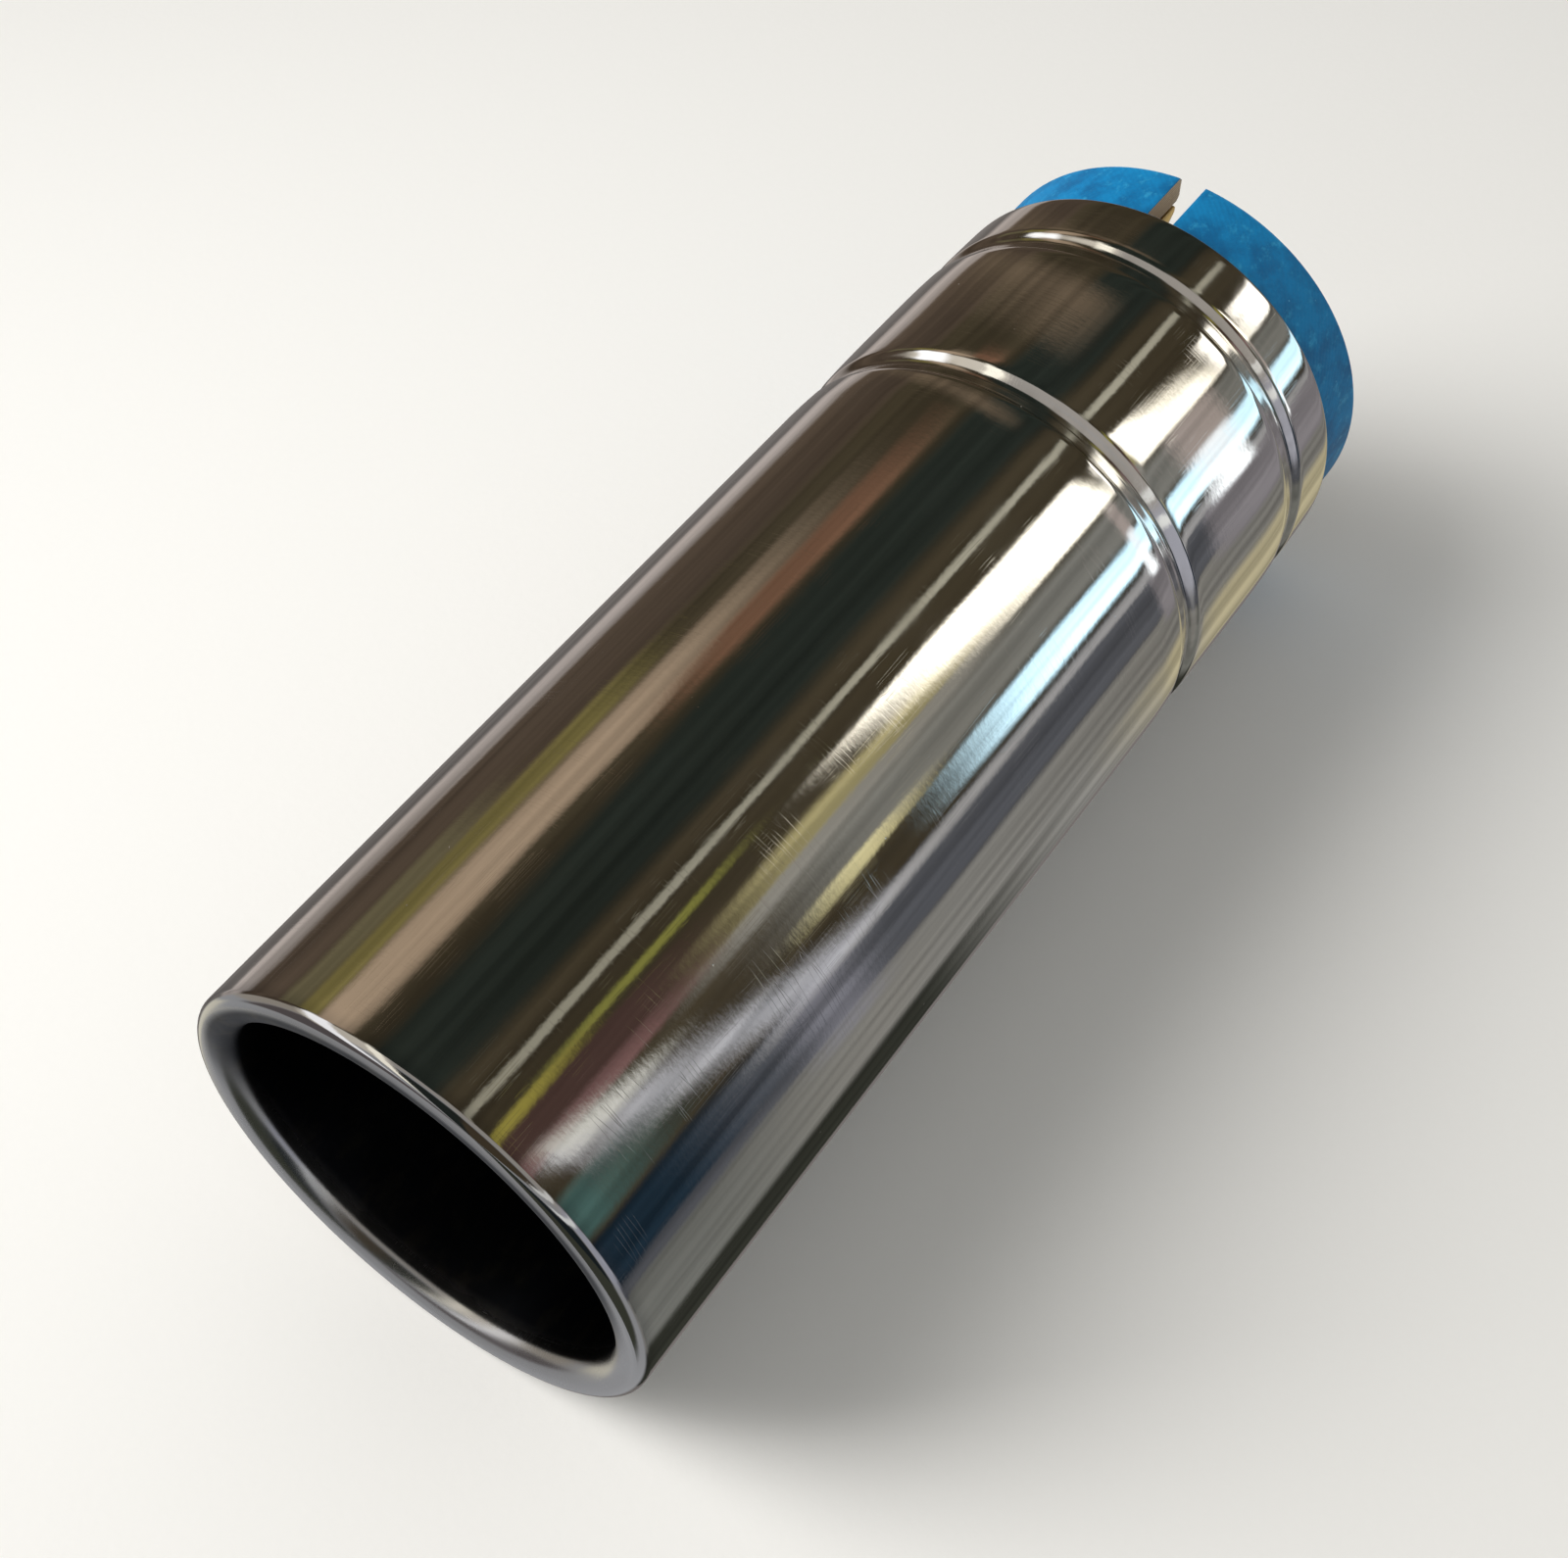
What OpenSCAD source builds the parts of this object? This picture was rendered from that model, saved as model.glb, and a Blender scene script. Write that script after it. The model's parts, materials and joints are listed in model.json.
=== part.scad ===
// Push-on gas nozzle of a welding torch: a plated tube rolled on to a slotted insulating sleeve,
// with a sprung brass sleeve inside that grips the torch neck.
// It lies on its side. The tube axis is Y, the gas outlet faces -Y, and the torch neck enters from +Y.
// The origin is on the axis, at the rear end of the neck bore's round wall.

/* [Shell] */
// Outer diameter of the shell
shell_d = 26; // [26:0.5:30]
// Length of the metal shell from the outlet lip to the rear rim
shell_l = 65; // [55:1:85]
// Wall thickness along the gas passage
front_wall = 2; // [1.6:0.1:2.4]
// Wall thickness round the insulating sleeve's seat
seat_wall = 0.7; // [0.65:0.05:0.75]
// Length of the insulating sleeve's seat inside the shell
seat_l = 22; // [22:0.5:26]

/* [Rolled grooves] */
// Width of each groove at the outer surface
groove_w = 1.5; // [1.2:0.1:1.8]
// Depth of each groove
groove_depth = 0.4; // [0.3:0.05:0.45]
// Distance from the rear rim to the middle of the rear groove
rear_groove_inset = 4.45; // [4:0.05:5]
// Distance between the two grooves
groove_pitch = 11.9; // [8:0.1:12]

/* [Insulating sleeve] */
// Length that stands out of the shell
sleeve_proud = 4.5; // [3:0.5:7]
// Wall thickness
sleeve_wall = 1.57; // [1.5:0.01:1.6]
// Width of the saw slots through both sleeves
slot_w = 1.6; // [1:0.1:2]
// Length of the insulating sleeve's slots
sleeve_slot_l = 17; // [12:0.5:18]
// Size of the small chamfers at its ends
sleeve_chamfer = 0.25; // [0.15:0.05:0.4]

/* [Clamping sleeve] */
// Diameter of the torch neck that it grips
neck_d = 19; // [18.8:0.05:19.1]
// Number of fingers
finger_count = 4; // [2:2:6]
// Length of the slots between the fingers
finger_slot_l = 15.5; // [12:0.5:17]
// Length of the thinned root that lets the fingers bend
finger_root_l = 4; // [3:0.5:5]
// Thickness of the front flange
flange_t = 1.2; // [1:0.1:1.5]
// Size of the lead-in chamfer at the rear mouth
lead_in = 0.6; // [0.4:0.1:0.8]

/* [Spring ring] */
// Diameter of the spring wire
wire_d = 0.7; // [0.6:0.05:0.7]
// Opening between the wire's ends, in degrees
ring_gap = 28; // [15:1:45]

/* [Insulating washer] */
// Thickness of the washer
washer_t = 1.2; // [1:0.1:1.5]

/* [Fits] */
// Gap between pieces that touch
fit_gap = 0.03; // [0.02:0.01:0.05]

/* [Hidden] */
$fn = 96;

// A is the distance along the axis from the outlet lip; R is the distance from the axis.
overall_l = shell_l + sleeve_proud;
neck_r = neck_d / 2;

// Shell
shell_r = shell_d / 2;
bore_r = shell_r - front_wall;
lip_r = front_wall / 2;
seat_r = shell_r - seat_wall;
seat_a = shell_l - seat_l;
rim_r = seat_wall / 2;

// Rolled grooves: an arc outside, and the bead that it raises inside, round the same centre
groove_arc_r = (pow(groove_w / 2, 2) + pow(groove_depth, 2)) / (2 * groove_depth);
groove_centre_r = shell_r - groove_depth + groove_arc_r;
bead_thinning = 0.05;
bead_arc_r = groove_arc_r + seat_wall - bead_thinning;
rear_groove_a = shell_l - rear_groove_inset;
groove_as = [rear_groove_a - groove_pitch, rear_groove_a];

// Insulating sleeve, with the body of the clamping sleeve inside it
sleeve_r = seat_r - fit_gap;
sleeve_bore_r = sleeve_r - sleeve_wall;
clamp_r = sleeve_bore_r - fit_gap;

// Washer, then the flange of the clamping sleeve behind it
washer_a = seat_a + fit_gap;
washer_clearance = 0.3;
washer_bore_r = neck_r + washer_clearance;
flange_a = washer_a + washer_t + fit_gap;
flange_step = 0.83;
flange_r = clamp_r + flange_step;
flange_recess_r = flange_r + fit_gap;
flange_recess_end = flange_a + flange_t + fit_gap;

// Clamping sleeve: how far the fingers' roots, backs and heads are set in from its body
clamp_setback = 0.3;
clamp_end = overall_l - clamp_setback;
root_inset = 0.67;
root_r = clamp_r - root_inset;
finger_inset = 0.47;
finger_r = clamp_r - finger_inset;
finger_head_inset = 0.22;
finger_head_r = clamp_r - finger_head_inset;
finger_head_l = 2.2;
root_taper_l = 0.5;
finger_taper_l = 0.3;
finger_root_a = clamp_end - finger_slot_l;
finger_a = finger_root_a + finger_root_l;
finger_head_a = clamp_end - finger_head_l;
neck_mouth_a = clamp_end - lead_in;

// Spring ring in its groove
ring_floor_gap = 0.02;
ring_side_play = 0.15;
ring_inset = 7;
ring_gap_angle = 45;
ring_a = clamp_end - ring_inset;
ring_centre_r = clamp_r - wire_d / 2;
ring_groove_r = ring_centre_r - wire_d / 2 - ring_floor_gap;
ring_groove_front_a = ring_a - wire_d / 2 - ring_side_play;
ring_groove_rear_a = ring_a + wire_d / 2 + ring_side_play;

// How far a cutting shape runs past what it cuts
overcut = 1;
// How far a saw slot's cutter starts inside the neck bore
slot_reach = 2;

// Turns a shape built up along +Z from the outlet lip on to the part's own axis
module along_axis() {
    translate([0, -neck_mouth_a, 0])
        rotate([-90, 0, 0])
            children();
}

// Round arc of a rolled groove or of its bead, in the R-A plane
module groove_arc(a, arc_r) {
    translate([groove_centre_r, a])
        circle(r = arc_r);
}

// Straight saw slots with round ends, cut inwards from the rear end of a sleeve
module saw_slots(count, end_a, slot_l) {
    root_a = end_a - slot_l + slot_w / 2;
    inner_r = neck_r - slot_reach;
    for (i = [0 : count - 1]) {
        rotate([0, 0, i * 360 / count - 90]) {
            translate([inner_r, -slot_w / 2, root_a])
                cube([shell_r - inner_r, slot_w, slot_l + overcut]);
            translate([inner_r, 0, root_a])
                rotate([0, 90, 0])
                    cylinder(d = slot_w, h = shell_r - inner_r);
        }
    }
}

module shell_profile() {
    difference() {
        union() {
            polygon([
                [bore_r, lip_r],
                [shell_r, lip_r],
                [shell_r, shell_l - rim_r],
                [seat_r, shell_l - rim_r],
                [seat_r, seat_a],
                [bore_r, seat_a]
            ]);
            translate([shell_r - lip_r, lip_r])
                circle(r = lip_r);
            translate([shell_r - rim_r, shell_l - rim_r])
                circle(r = rim_r);
            for (a = groove_as) {
                intersection() {
                    groove_arc(a, bead_arc_r);
                    translate([bore_r, a - groove_w])
                        square([shell_r - bore_r, 2 * groove_w]);
                }
            }
        }
        for (a = groove_as) {
            groove_arc(a, groove_arc_r);
        }
    }
}

// Copper tube with bright plating: the part that is seen
module nozzle_shell() {
    color([0.62, 0.62, 0.62])
        along_axis()
            rotate_extrude()
                shell_profile();
}

module insulating_sleeve_profile() {
    difference() {
        polygon([
            [flange_recess_r, flange_a],
            [sleeve_r - sleeve_chamfer, flange_a],
            [sleeve_r, flange_a + sleeve_chamfer],
            [sleeve_r, overall_l - sleeve_chamfer],
            [sleeve_r - sleeve_chamfer, overall_l],
            [sleeve_bore_r + sleeve_chamfer, overall_l],
            [sleeve_bore_r, overall_l - sleeve_chamfer],
            [sleeve_bore_r, flange_recess_end],
            [flange_recess_r, flange_recess_end]
        ]);
        for (a = groove_as) {
            groove_arc(a, bead_arc_r + fit_gap);
        }
    }
}

// Lacquered glass-fibre tube, sawn right across from the rear
module insulating_sleeve() {
    color([0.12, 0.48, 0.68])
        along_axis()
            difference() {
                rotate_extrude()
                    insulating_sleeve_profile();
                saw_slots(2, overall_l, sleeve_slot_l);
            }
}

// Flat ring between the shell's inner shoulder and the live flange
module insulating_washer() {
    color([0.72, 0.66, 0.52])
        along_axis()
            translate([0, 0, washer_a])
                difference() {
                    cylinder(r = sleeve_r, h = washer_t);
                    translate([0, 0, -overcut])
                        cylinder(r = washer_bore_r, h = washer_t + 2 * overcut);
                }
}

module clamping_sleeve_profile() {
    polygon([
        [neck_r, flange_a],
        [flange_r, flange_a],
        [flange_r, flange_a + flange_t],
        [clamp_r, flange_a + flange_t],
        [clamp_r, finger_root_a - root_taper_l],
        [root_r, finger_root_a],
        [root_r, finger_a],
        [finger_r, finger_a + finger_taper_l],
        [finger_r, ring_groove_front_a],
        [ring_groove_r, ring_groove_front_a],
        [ring_groove_r, ring_groove_rear_a],
        [finger_r, ring_groove_rear_a],
        [finger_r, finger_head_a],
        [finger_head_r, finger_head_a + finger_taper_l],
        [finger_head_r, clamp_end],
        [neck_r + lead_in, clamp_end],
        [neck_r, neck_mouth_a]
    ]);
}

// Brass sleeve: a flange in front, spring fingers behind
module clamping_sleeve() {
    color([0.78, 0.62, 0.3])
        along_axis()
            difference() {
                rotate_extrude()
                    clamping_sleeve_profile();
                saw_slots(finger_count, clamp_end, finger_slot_l);
            }
}

// Open ring of spring wire that presses the fingers inwards
module spring_ring() {
    color([0.45, 0.46, 0.48])
        along_axis()
            translate([0, 0, ring_a])
                rotate([0, 0, ring_gap_angle + ring_gap / 2])
                    rotate_extrude(angle = 360 - ring_gap)
                        translate([ring_centre_r, 0])
                            circle(d = wire_d);
}

nozzle_shell();
insulating_sleeve();
insulating_washer();
clamping_sleeve();
spring_ring();
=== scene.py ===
"""Looks of a push-on gas nozzle for a welding torch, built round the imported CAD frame.

Each sub-assembly is a class that works its sizes out from the frame, builds its mesh and
dresses it. Lengths are in metres. The tube axis is Y, the gas outlet faces -Y, and +Z is up.
"""

import json
import logging
import math
from dataclasses import dataclass
from enum import Enum
from typing import Callable, Iterable, Optional, Sequence, Union

import bmesh
import bpy
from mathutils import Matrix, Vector


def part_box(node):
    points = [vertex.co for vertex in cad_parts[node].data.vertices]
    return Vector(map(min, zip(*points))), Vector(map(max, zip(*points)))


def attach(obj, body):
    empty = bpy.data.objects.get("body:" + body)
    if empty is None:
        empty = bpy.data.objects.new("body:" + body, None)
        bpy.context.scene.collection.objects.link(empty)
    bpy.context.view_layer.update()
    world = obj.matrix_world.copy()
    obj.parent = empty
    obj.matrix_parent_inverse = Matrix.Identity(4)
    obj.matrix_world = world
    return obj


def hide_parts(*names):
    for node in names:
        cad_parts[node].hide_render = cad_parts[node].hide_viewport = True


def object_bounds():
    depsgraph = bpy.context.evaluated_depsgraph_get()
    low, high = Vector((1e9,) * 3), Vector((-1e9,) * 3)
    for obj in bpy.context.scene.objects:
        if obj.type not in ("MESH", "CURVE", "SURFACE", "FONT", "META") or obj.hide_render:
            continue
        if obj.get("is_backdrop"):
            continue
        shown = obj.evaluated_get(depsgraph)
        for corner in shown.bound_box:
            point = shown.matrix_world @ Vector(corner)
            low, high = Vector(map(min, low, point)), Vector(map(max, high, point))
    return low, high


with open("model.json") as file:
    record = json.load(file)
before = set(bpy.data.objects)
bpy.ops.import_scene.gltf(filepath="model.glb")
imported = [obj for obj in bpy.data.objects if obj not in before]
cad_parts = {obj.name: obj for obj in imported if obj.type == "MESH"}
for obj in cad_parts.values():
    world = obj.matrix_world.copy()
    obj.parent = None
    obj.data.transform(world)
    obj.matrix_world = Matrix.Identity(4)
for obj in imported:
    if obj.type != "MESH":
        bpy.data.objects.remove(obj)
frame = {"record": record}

LOG = logging.getLogger("gas_nozzle")
MM = 0.001
FULL_TURN = 2 * math.pi
TOP = math.pi / 2
# How far a wall that stands square to the axis runs along it
SQUARE_RUN = 0.01 * MM

Colour = tuple[float, float, float]
Place = tuple[float, float]
Link = bpy.types.NodeSocket
Row = list[bmesh.types.BMVert]


class Slot(Enum):
    """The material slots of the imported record."""

    PLATING = "bright_plating"
    BLUE = "blue_laminate"
    LAMINATE = "bare_laminate"
    BRASS = "brass"
    WIRE = "spring_wire"


class Skin(Enum):
    """Which finish a face of a slotted sleeve takes."""

    TURNED = 0
    CUT = 1


def tone(red: int, green: int, blue: int) -> Colour:
    """Turns a display colour into the linear colour that a shader needs.

    Args:
        red: Display red, from 0 to 255.
        green: Display green, from 0 to 255.
        blue: Display blue, from 0 to 255.

    Returns:
        The linear colour.
    """

    def linear(channel: int) -> float:
        """Undoes the display curve of one channel."""
        share = channel / 255
        return share / 12.92 if share <= 0.04045 else ((share + 0.055) / 1.055) ** 2.4

    return linear(red), linear(green), linear(blue)


# ---- Shader building ----


class Value:
    """A number that varies over a surface: arithmetic on it adds Math nodes."""

    def __init__(self, graph: "Graph", socket: Link) -> None:
        """Wraps a socket of a graph."""
        self.graph = graph
        self.socket = socket

    def maths(self, operation: str, *operands: "Operand") -> "Value":
        """Adds one Math node, with its operands in the order of its inputs."""
        settings = {"operation": operation}
        return self.graph.value("ShaderNodeMath", settings, dict(enumerate(operands)))

    def __add__(self, other: "Operand") -> "Value":
        """Adds another value."""
        return self.maths("ADD", self, other)

    __radd__ = __add__

    def __sub__(self, other: "Operand") -> "Value":
        """Takes another value away."""
        return self.maths("SUBTRACT", self, other)

    def __rsub__(self, other: "Operand") -> "Value":
        """Takes this value from another."""
        return self.maths("SUBTRACT", other, self)

    def __mul__(self, other: "Operand") -> "Value":
        """Multiplies by another value."""
        return self.maths("MULTIPLY", self, other)

    __rmul__ = __mul__

    def __pow__(self, other: "Operand") -> "Value":
        """Raises this value to a power."""
        return self.maths("POWER", self, other)

    def __abs__(self) -> "Value":
        """Drops the sign."""
        return self.maths("ABSOLUTE", self)

    def rise(self, low: float, high: float) -> "Value":
        """Goes smoothly from 0 at low to 1 at high.

        Args:
            low: Where it is still 0.
            high: Where it reaches 1. It may be below low, and then the value falls.

        Returns:
            The eased value.
        """
        ends = (low, high, 0.0, 1.0) if low < high else (high, low, 1.0, 0.0)
        inputs = dict(enumerate((self, *ends)))
        settings = {"interpolation_type": "SMOOTHSTEP"}
        return self.graph.value("ShaderNodeMapRange", settings, inputs)

    def near(self, centre: float, reach: float) -> "Value":
        """Is 1 at centre and falls smoothly to 0 at reach on either side."""
        return abs(self - centre).rise(reach, 0.0)


Operand = Union[Value, float]
Input = Union[Value, Link, float, Sequence[float]]
Inputs = dict[Union[int, str], Input]


class Graph:
    """The node tree of a material or of the world."""

    def __init__(self, tree: bpy.types.NodeTree) -> None:
        """Empties the tree and starts it again."""
        self.tree = tree
        self.tree.nodes.clear()

    def node(self, kind: str, settings: dict, inputs: Inputs) -> bpy.types.Node:
        """Adds one node.

        Args:
            kind: The node's type.
            settings: Properties of the node, set before its sockets.
            inputs: Values or links of its sockets, by number or name.

        Returns:
            The new node.
        """
        made = self.tree.nodes.new(kind)
        for name, setting in settings.items():
            setattr(made, name, setting)
        for key, given in inputs.items():
            source = given.socket if isinstance(given, Value) else given
            if isinstance(source, Link):
                self.tree.links.new(source, made.inputs[key])
            else:
                made.inputs[key].default_value = source
        return made

    def value(self, kind: str, settings: dict, inputs: Inputs) -> Value:
        """Adds one node and wraps its first output."""
        return Value(self, self.node(kind, settings, inputs).outputs[0])

    def split(self, vector: Link) -> tuple[Value, Value, Value]:
        """Gives the three parts of a vector."""
        parts = self.node("ShaderNodeSeparateXYZ", {}, {0: vector}).outputs
        return Value(self, parts[0]), Value(self, parts[1]), Value(self, parts[2])

    def blend(self, factor: Input, first: Input, second: Input) -> Link:
        """Mixes two colours, with the factor as the share of the second."""
        inputs = {0: factor, 6: self.with_alpha(first), 7: self.with_alpha(second)}
        return self.node("ShaderNodeMix", {"data_type": "RGBA"}, inputs).outputs[2]

    def scaled(self, vector: Input, factor: Operand) -> Link:
        """Multiplies a vector or a colour by a number through Vector Math."""
        inputs = {0: vector, 3: factor}
        return self.node("ShaderNodeVectorMath", {"operation": "SCALE"}, inputs).outputs[0]

    @staticmethod
    def with_alpha(colour: Input) -> Input:
        """Gives a plain colour the fourth number that a colour socket needs."""
        return (*colour, 1.0) if isinstance(colour, tuple) else colour


class Surface(Graph):
    """A material's graph, with the object's own coordinates in millimetres."""

    def __init__(self, name: str) -> None:
        """Makes the material and its coordinates.

        Args:
            name: The material's name.
        """
        self.material = bpy.data.materials.new(name)
        self.material.use_nodes = True
        super().__init__(self.material.node_tree)
        where = self.node("ShaderNodeTexCoord", {}, {}).outputs["Object"]
        self.place = self.scaled(where, 1 / MM)
        self.x, self.y, self.z = self.split(self.place)
        self.radius = (self.x * self.x + self.z * self.z) ** 0.5

    def stretched(self, across: float, along: float) -> Link:
        """Scales the coordinates: across for X and Z, along for the tube axis, per millimetre."""
        inputs = {0: self.place, 1: (across, along, across)}
        return self.node("ShaderNodeVectorMath", {"operation": "MULTIPLY"}, inputs).outputs[0]

    def noise(self, across: float, along: float, detail: float, offset: float,
              roughness: float = 0.5) -> Value:
        """Adds a noise texture.

        Args:
            across: Features per millimetre across the tube.
            along: Features per millimetre along it.
            detail: How many finer layers it has.
            offset: Which slice of the noise, so that two of them differ.
            roughness: How strong the finer layers are.

        Returns:
            Its value, from 0 to 1 and mostly near 0.5.
        """
        inputs = {
            "Vector": self.stretched(across, along),
            "W": offset,
            "Scale": 1.0,
            "Detail": detail,
            "Roughness": roughness,
        }
        return self.value("ShaderNodeTexNoise", {"noise_dimensions": "4D"}, inputs)

    def specks(self, per_mm: float, size: float, share: float, offset: float) -> Value:
        """Scatters small round specks.

        Args:
            per_mm: Cells per millimetre that may hold a speck.
            size: A speck's radius as a share of its cell.
            share: The share of the cells that hold one.
            offset: Which slice of the pattern.

        Returns:
            1 inside a speck and 0 outside.
        """
        inputs = {"Vector": self.stretched(per_mm, per_mm), "W": offset, "Scale": 1.0}
        cells = self.node("ShaderNodeTexVoronoi", {"voronoi_dimensions": "4D"}, inputs).outputs
        chosen = self.split(cells["Color"])[0].rise(share + 0.01, share - 0.01)
        return Value(self, cells["Distance"]).rise(size, size / 2) * chosen

    def scratches(self, across: float, along: float, width: float, offset: float) -> Value:
        """Draws long fine lines where a stretched noise crosses its middle value."""
        lines = abs(self.noise(across, along, 0.0, offset) - 0.5).rise(width, 0.0)
        return lines * self.noise(0.35, 0.35, 1.0, offset + 7).rise(0.5, 0.62)

    def relief(self, height_mm: Value) -> Link:
        """Turns a height in millimetres into a normal."""
        inputs = {"Strength": 1.0, "Distance": MM, "Height": height_mm}
        return self.node("ShaderNodeBump", {}, inputs).outputs[0]

    def finished(self, **sockets: Input) -> bpy.types.Material:
        """Adds the shader and the output.

        Args:
            sockets: The shader's inputs, by name with _ for a space.

        Returns:
            The finished material.
        """
        inputs = {
            name.replace("_", " "): self.with_alpha(given) for name, given in sockets.items()
        }
        shader = self.node("ShaderNodeBsdfPrincipled", {}, inputs)
        self.node("ShaderNodeOutputMaterial", {}, {0: shader.outputs[0]})
        return self.material


# ---- Finishes ----


@dataclass(frozen=True)
class BrightPlating:
    """Mirror nickel-chrome plating, near-black in the gas passage from carbon and painted shade."""

    bore_radius: float
    lip_y: float
    groove_ys: tuple[float, ...]
    rim_y: float
    metal: Colour = (0.60, 0.59, 0.57)
    warm_metal: Colour = (0.57, 0.55, 0.515)
    grime: Colour = (0.16, 0.13, 0.10)
    # The bore's near-black colours: partly carbon deposit, partly painted shade of the deep bore.
    carbon_and_shade_dark: Colour = (0.035, 0.038, 0.046)
    carbon_flake_and_shade: Colour = (0.07, 0.066, 0.06)
    dust: Colour = (0.75, 0.73, 0.68)
    worn_lip: Colour = (0.27, 0.27, 0.28)

    def build(self) -> bpy.types.Material:
        """Makes the material: mirror metal with an orange peel, hairlines, pits, dust and grime.

        Returns:
            The material.
        """
        surface = Surface("bright_plating")
        bore = self.bore_radius / MM
        depth = surface.y - self.lip_y / MM
        # Painted shade: the bore's dark reaches further out and nearer the lip towards the top.
        top_shade_reach = surface.z.rise(-5.0, 7.0)
        inside = (surface.radius - top_shade_reach * 0.75).rise(bore + 0.95, bore + 0.3)
        # Partly carbon deposit, partly painted shade: the bore turns near-black with depth past the
        # lip.
        carbon_and_shade_mask = inside * (depth + top_shade_reach * 1.7).rise(0.15, 1.9)
        rolled = surface.y.near(self.rim_y / MM, 0.5)
        for groove_y in self.groove_ys:
            rolled = rolled + surface.y.near(groove_y / MM, 0.85)
        cloud = surface.noise(0.12, 0.05, 3.0, 1.0)
        film = surface.noise(0.22, 0.16, 4.0, 2.0, 0.62).rise(0.46, 0.74)
        dust = surface.specks(1.3, 0.10, 0.06, 3.0) * (1 - carbon_and_shade_mask)
        pits = surface.specks(1.7, 0.09, 0.12, 5.0)
        lengthwise = surface.scratches(5.0, 0.12, 0.012, 6.0)
        hairlines = lengthwise + surface.scratches(0.16, 3.2, 0.010, 8.0)
        metal = surface.blend(cloud.rise(0.35, 0.65), self.metal, self.warm_metal)
        caught = rolled * surface.noise(0.8, 0.8, 3.0, 9.0).rise(0.35, 0.7) * 0.35
        dusted = surface.blend(dust * 0.4, surface.blend(caught, metal, self.grime), self.dust)
        flaky = surface.noise(0.9, 0.5, 3.0, 11.0).rise(0.45, 0.7)
        # Flaky near-black of the bore: partly carbon deposit, partly painted shade.
        carbon_and_shade_colour = surface.blend(flaky, self.carbon_and_shade_dark, self.carbon_flake_and_shade)
        lip = depth.rise(1.3, 0.3)
        satin = lip * surface.radius.rise(bore + 1.7, bore + 1.1)
        dulled = surface.blend(lip * 0.5, dusted, self.worn_lip)
        marks = film * 0.06 + dust * 0.35 + hairlines * 0.05
        roughness = 0.045 + marks + rolled * 0.05 + carbon_and_shade_mask * 0.27 + satin * 0.2
        peel = surface.noise(1.3, 0.9, 1.0, 12.0) * 0.0011
        waves = surface.noise(0.24, 0.10, 1.0, 13.0) * 0.006
        drawn = surface.noise(6.0, 0.05, 1.0, 14.0) * 0.00022
        grain = surface.noise(7.0, 7.0, 2.0, 15.0) * carbon_and_shade_mask * 0.006
        ripple = surface.noise(3.0, 4.2, 2.0, 16.0) * 0.0012
        skin = peel + waves + drawn + ripple + grain
        return surface.finished(
            Base_Color=surface.blend(carbon_and_shade_mask, dulled, carbon_and_shade_colour),
            Metallic=1 - dust * 0.8,
            Roughness=roughness,
            Normal=surface.relief(skin - pits * 0.007 + dust * 0.008 - hairlines * 0.0004),
        )


@dataclass(frozen=True)
class BlueLacquer:
    """Blue lacquer on a rolled glass-fibre tube: mottled, with the cloth's weave just showing."""

    end_y: float
    thick: Colour = tone(12, 130, 188)
    thin: Colour = tone(58, 168, 212)
    deep: Colour = tone(8, 103, 157)
    fleck: Colour = tone(110, 190, 220)
    rubbed: Colour = tone(96, 170, 204)
    weave_mm: float = 0.42
    radius_mm: float = 12.27

    def build(self) -> bpy.types.Material:
        """Makes the material.

        Returns:
            The material.
        """
        surface = Surface("blue_laminate")
        end = self.end_y / MM
        pitch = FULL_TURN / self.weave_mm
        turn = surface.x.maths("ARCTAN2", surface.z, surface.x) * self.radius_mm * pitch
        rise = surface.y * pitch
        cloth = turn.maths("SINE", turn) * rise.maths("SINE", rise)
        blotch = surface.noise(0.55, 0.45, 4.0, 21.0, 0.6)
        pale = surface.noise(1.5, 1.1, 3.0, 22.0, 0.65).rise(0.54, 0.72)
        flecks = surface.specks(2.3, 0.2, 0.16, 23.0)
        worn = surface.y.rise(end - 0.45, end - 0.1) * blotch.rise(0.4, 0.6)
        base = surface.blend(blotch.rise(0.34, 0.62), self.deep, self.thick)
        mottled = surface.blend(pale * 0.55, base, self.thin)
        flecked = surface.blend(flecks * 0.5, mottled, self.fleck)
        rubbed = surface.blend(worn * 0.55, flecked, self.rubbed)
        height = cloth * 0.004 + surface.noise(2.6, 2.6, 3.0, 24.0) * 0.02 + flecks * 0.006
        return surface.finished(
            Base_Color=surface.blend(cloth.rise(0.1, 0.9) * 0.10, rubbed, self.deep),
            Roughness=0.5 + blotch * 0.16 - pale * 0.08,
            Normal=surface.relief(height),
            Specular_IOR_Level=0.3,
        )


@dataclass(frozen=True)
class CutLaminate:
    """Sawn glass-fibre laminate: beige rings of cloth round the axis, with saw marks."""

    pale: Colour = tone(214, 200, 180)
    dark: Colour = tone(164, 147, 125)
    dirt: Colour = tone(92, 84, 76)
    layer_mm: float = 0.19

    def build(self) -> bpy.types.Material:
        """Makes the material.

        Returns:
            The material.
        """
        surface = Surface("bare_laminate")
        wander = surface.noise(1.2, 1.2, 2.0, 31.0) * 0.12
        phase = (surface.radius + wander) * (FULL_TURN / self.layer_mm)
        layers = phase.maths("SINE", phase)
        fibre = surface.noise(9.0, 2.2, 3.0, 32.0)
        saw = surface.noise(1.1, 9.0, 1.0, 33.0)
        dirt = surface.noise(0.6, 0.6, 3.0, 34.0).rise(0.5, 0.72)
        banded = surface.blend(layers.rise(-0.6, 0.8) * 0.55 + fibre * 0.3, self.dark, self.pale)
        return surface.finished(
            Base_Color=surface.blend(dirt * 0.45, banded, self.dirt),
            Roughness=0.62 + fibre * 0.22,
            Normal=surface.relief(layers * 0.006 + fibre * 0.012 + saw * 0.008),
        )


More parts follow.
